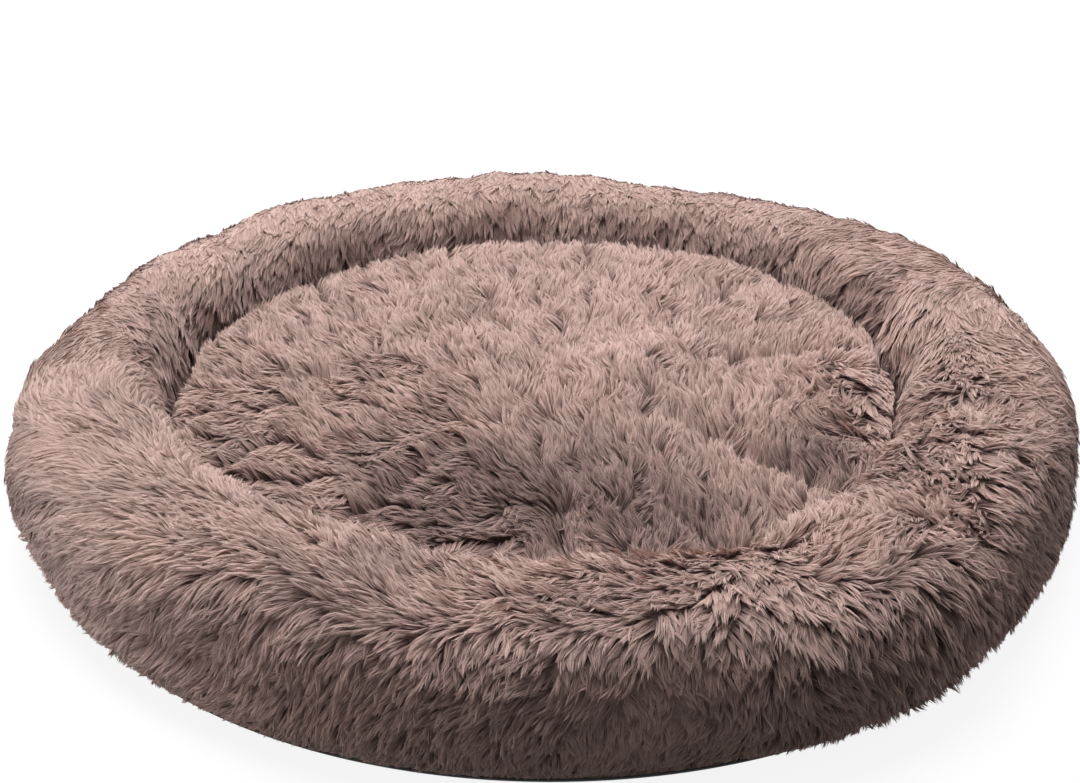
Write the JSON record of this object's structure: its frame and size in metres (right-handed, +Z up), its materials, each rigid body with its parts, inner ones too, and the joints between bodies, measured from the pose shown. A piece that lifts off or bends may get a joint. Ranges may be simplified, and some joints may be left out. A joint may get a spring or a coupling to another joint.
{
  "type": "round pet cushion",
  "caption": "Round shag cushion with a plump bolster ring round a padded seat, on a cloth base with a zip at the back.",
  "frame": {"origin": "on the floor, under the middle of the round base", "axes": "+Z up, the front of the pictured view towards -Y, and +X to the right seen from the front"},
  "size_m": [1.1486, 1.149, 0.1807],
  "materials": {
    "shag_fur": "long matte shag pile, lighter at the tips",
    "base_cloth": "plain woven, dark, with small anti-slip dots",
    "lining_cloth": "thin non-woven lining",
    "fibre_fill": "loose polyester fibre",
    "zip_tape": "herringbone tape",
    "zip_coil": "satin nylon coil",
    "zip_metal": "dull gunmetal"
  },
  "bodies": {
    "cushion": {"outer_wall_fur_front": "shag_fur", "outer_wall_fur_right": "shag_fur", "outer_wall_fur_back": "shag_fur", "outer_wall_fur_left": "shag_fur", "inner_wall_fur_front": "shag_fur", "inner_wall_fur_right": "shag_fur", "inner_wall_fur_back": "shag_fur", "inner_wall_fur_left": "shag_fur", "seat_fur": "shag_fur", "base_panel": "base_cloth", "ring_sleeve_outer": "lining_cloth", "ring_sleeve_inner": "lining_cloth", "ring_fibre": "fibre_fill", "pocket_divider": "lining_cloth", "seat_case_top": "lining_cloth", "seat_case_bottom": "lining_cloth", "seat_fibre": "fibre_fill", "zip_tape_upper": "zip_tape", "zip_tape_lower": "zip_tape", "zip_coil_upper": "zip_coil", "zip_coil_lower": "zip_coil", "zip_top_stop_upper": "zip_metal", "zip_top_stop_lower": "zip_metal", "zip_bottom_stop": "zip_metal"},
    "slider": {"zip_slider": "zip_metal"},
    "pull": {"zip_pull": "zip_metal"}
  },
  "joints": [
    {"name": "zip_travel", "type": "hinge", "parent": "cushion", "child": "slider", "pos_m": [0, 0, 0.0289], "axis": [0, 0, 1], "range_deg": [-80.8, 0]},
    {"name": "pull_swing", "type": "hinge", "parent": "slider", "child": "pull", "pos_m": [-0.36183, 0.42483, 0.0258], "axis": [-0.2912, 0.3418, 0.8935], "range_deg": [0, 180]}
  ]
}
